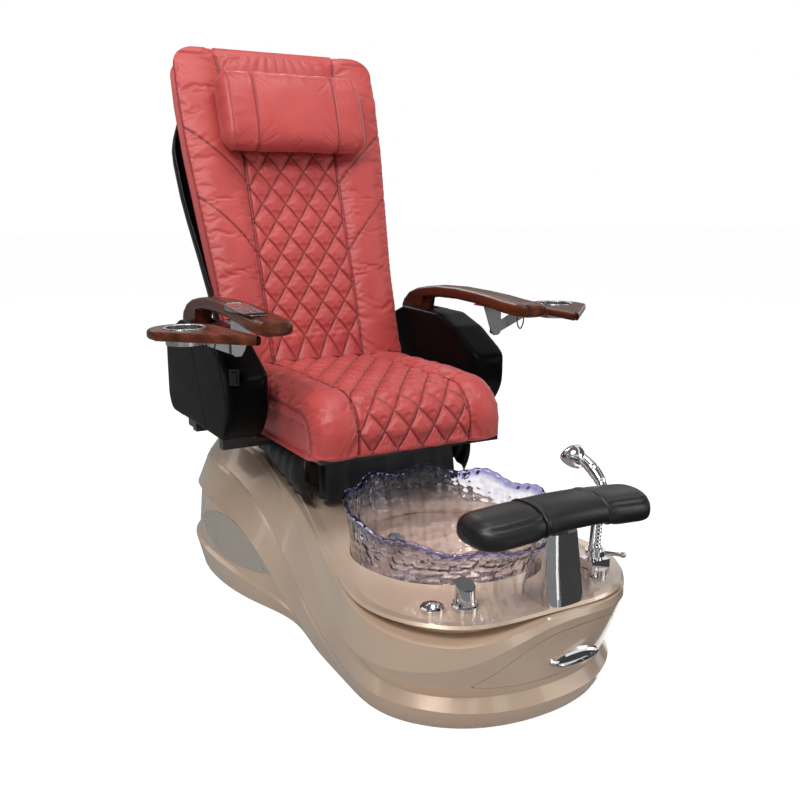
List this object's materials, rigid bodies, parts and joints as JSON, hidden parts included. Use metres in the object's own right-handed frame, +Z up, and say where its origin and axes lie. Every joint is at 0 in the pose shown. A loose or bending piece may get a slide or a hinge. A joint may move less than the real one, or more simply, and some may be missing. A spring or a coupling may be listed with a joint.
{
  "type": "pedicure spa chair",
  "caption": "Pedicure spa chair: quilted reclining massage seat on a moulded base with clear foot bowl, padded leg rest, hand shower, swing-up armrests and cup trays.",
  "frame": {"origin": "middle of the centre foot's sole, on the floor under the seat's middle", "axes": "+Z up, the chair faces -Y, +X towards the sitter's left side, which is the right of the picture"},
  "size_m": [1.152, 1.4691, 1.4258],
  "materials": {
    "champagne_gloss": "gloss",
    "chrome": "polished",
    "brushed_plate": "brushed",
    "clear_resin": "hammered",
    "pipe_plastic": "satin",
    "clear_plastic": "gloss",
    "black_plastic": "satin",
    "black_tube": "satin",
    "rubber_feet": "matte",
    "steel": "satin",
    "black_leather": "satin",
    "red_leather": "satin",
    "roller_rubber": "matte",
    "cherry_wood": "gloss",
    "panel_plastic": "gloss"
  },
  "bodies": {
    "base": {"base_shell": "champagne_gloss", "badge_plate": "brushed_plate", "badge_screws": "chrome", "foot_bowl": "clear_resin", "bowl_basin": "champagne_gloss", "drain_strainer": "chrome", "drain_pipe": "pipe_plastic", "jet_cap": "clear_plastic", "jet_motor": "black_plastic", "chassis": "black_tube", "levelling_feet": "rubber_feet", "slide_rails": "steel", "button_bezel": "chrome", "knob_collar": "chrome", "faucet_body": "chrome", "spray_holder": "chrome", "rest_column": "chrome"},
    "service_panel": {"access_panel": "champagne_gloss", "panel_pull": "chrome"},
    "button": {"air_button": "chrome"},
    "knob": {"jet_knob": "chrome"},
    "lever": {"faucet_lever": "chrome"},
    "handset": {"spray_handset": "chrome", "spray_hose": "chrome"},
    "footrest": {"rest_post": "steel", "leg_pad": "black_leather", "leg_pad_band": "black_leather"},
    "chair": {"seat_frame": "black_tube", "seat_pan": "black_tube", "recline_pins": "steel", "arm_pins": "steel", "seat_cushion": "red_leather", "side_skirt_right": "black_leather", "side_skirt_left": "black_leather", "front_apron": "black_leather", "slide_motor": "black_plastic", "recline_motor": "black_plastic", "armrest_pod_right": "black_leather", "armrest_pod_left": "black_leather", "switch_frame": "black_plastic"},
    "back": {"back_cushion": "red_leather", "pillow": "red_leather", "back_shell": "black_leather", "back_frame": "black_tube", "massage_rails": "steel"},
    "carriage": {"massage_carriage": "black_plastic"},
    "rollers": {"massage_rollers": "roller_rubber"},
    "armrest_left": {"arm_left": "cherry_wood", "tray_bracket_left": "steel"},
    "armrest_right": {"arm_right": "cherry_wood", "control_panel": "panel_plastic", "tray_bracket_right": "steel"},
    "side_tray_left": {"tray_left": "cherry_wood", "tray_strut_left": "steel", "cup_left": "chrome"},
    "side_tray_right": {"tray_right": "cherry_wood", "tray_strut_right": "steel", "cup_right": "chrome"},
    "switch": {"seat_switch": "black_plastic"}
  },
  "joints": [
    {"name": "panel_slide_off", "type": "slide", "parent": "base", "child": "service_panel", "axis": [0, -1, 0], "range_m": [0, 0.12]},
    {"name": "air_button_press", "type": "slide", "parent": "base", "child": "button", "axis": [0, 0, -1], "range_m": [0, 0.003], "stiffness_N_per_m": 900},
    {"name": "jet_knob_turn", "type": "hinge", "parent": "base", "child": "knob", "pos_m": [-0.138, -0.668, 0.26], "axis": [0, 0, 1], "range_deg": [-90, 90]},
    {"name": "faucet_lever_turn", "type": "hinge", "parent": "base", "child": "lever", "pos_m": [0.2, -0.649, 0.279], "axis": [0, 0, 1], "range_deg": [-35, 35]},
    {"name": "handset_pull", "type": "slide", "parent": "base", "child": "handset", "axis": [0.3404, 0.3003, 0.891], "range_m": [0, 0.12]},
    {"name": "footrest_lift", "type": "slide", "parent": "base", "child": "footrest", "axis": [0, 0, 1], "range_m": [0, 0.07]},
    {"name": "seat_slide", "type": "slide", "parent": "base", "child": "chair", "axis": [0, 1, 0], "range_m": [0, 0.1]},
    {"name": "back_recline", "type": "hinge", "parent": "chair", "child": "back", "pos_m": [0, 0.3, 0.5], "axis": [-1, 0, 0], "range_deg": [0, 32]},
    {"name": "massage_travel", "type": "slide", "parent": "back", "child": "carriage", "axis": [0, 0.309, 0.9511], "range_m": [0, 0.55]},
    {"name": "roller_spin", "type": "hinge", "parent": "carriage", "child": "rollers", "pos_m": [0, 0.43241, 0.68945], "axis": [1, 0, 0], "continuous": true},
    {"name": "arm_raise_left", "type": "hinge", "parent": "chair", "child": "armrest_left", "pos_m": [0.336, 0.3, 0.64], "axis": [-1, 0, 0], "range_deg": [0, 70]},
    {"name": "arm_raise_right", "type": "hinge", "parent": "chair", "child": "armrest_right", "pos_m": [-0.336, 0.3, 0.64], "axis": [-1, 0, 0], "range_deg": [0, 70]},
    {"name": "tray_swing_left", "type": "hinge", "parent": "armrest_left", "child": "side_tray_left", "pos_m": [0.356, -0.046, 0.667], "axis": [0, 1, 0], "range_deg": [0, 70]},
    {"name": "tray_swing_right", "type": "hinge", "parent": "armrest_right", "child": "side_tray_right", "pos_m": [-0.356, -0.046, 0.667], "axis": [0, -1, 0], "range_deg": [0, 70]},
    {"name": "seat_switch_rock", "type": "hinge", "parent": "chair", "child": "switch", "pos_m": [-0.37213, -0.06014, 0.606], "axis": [0.7071, -0.7071, 0], "range_deg": [-6, 6], "stiffness_Nm_per_rad": 0.2}
  ]
}
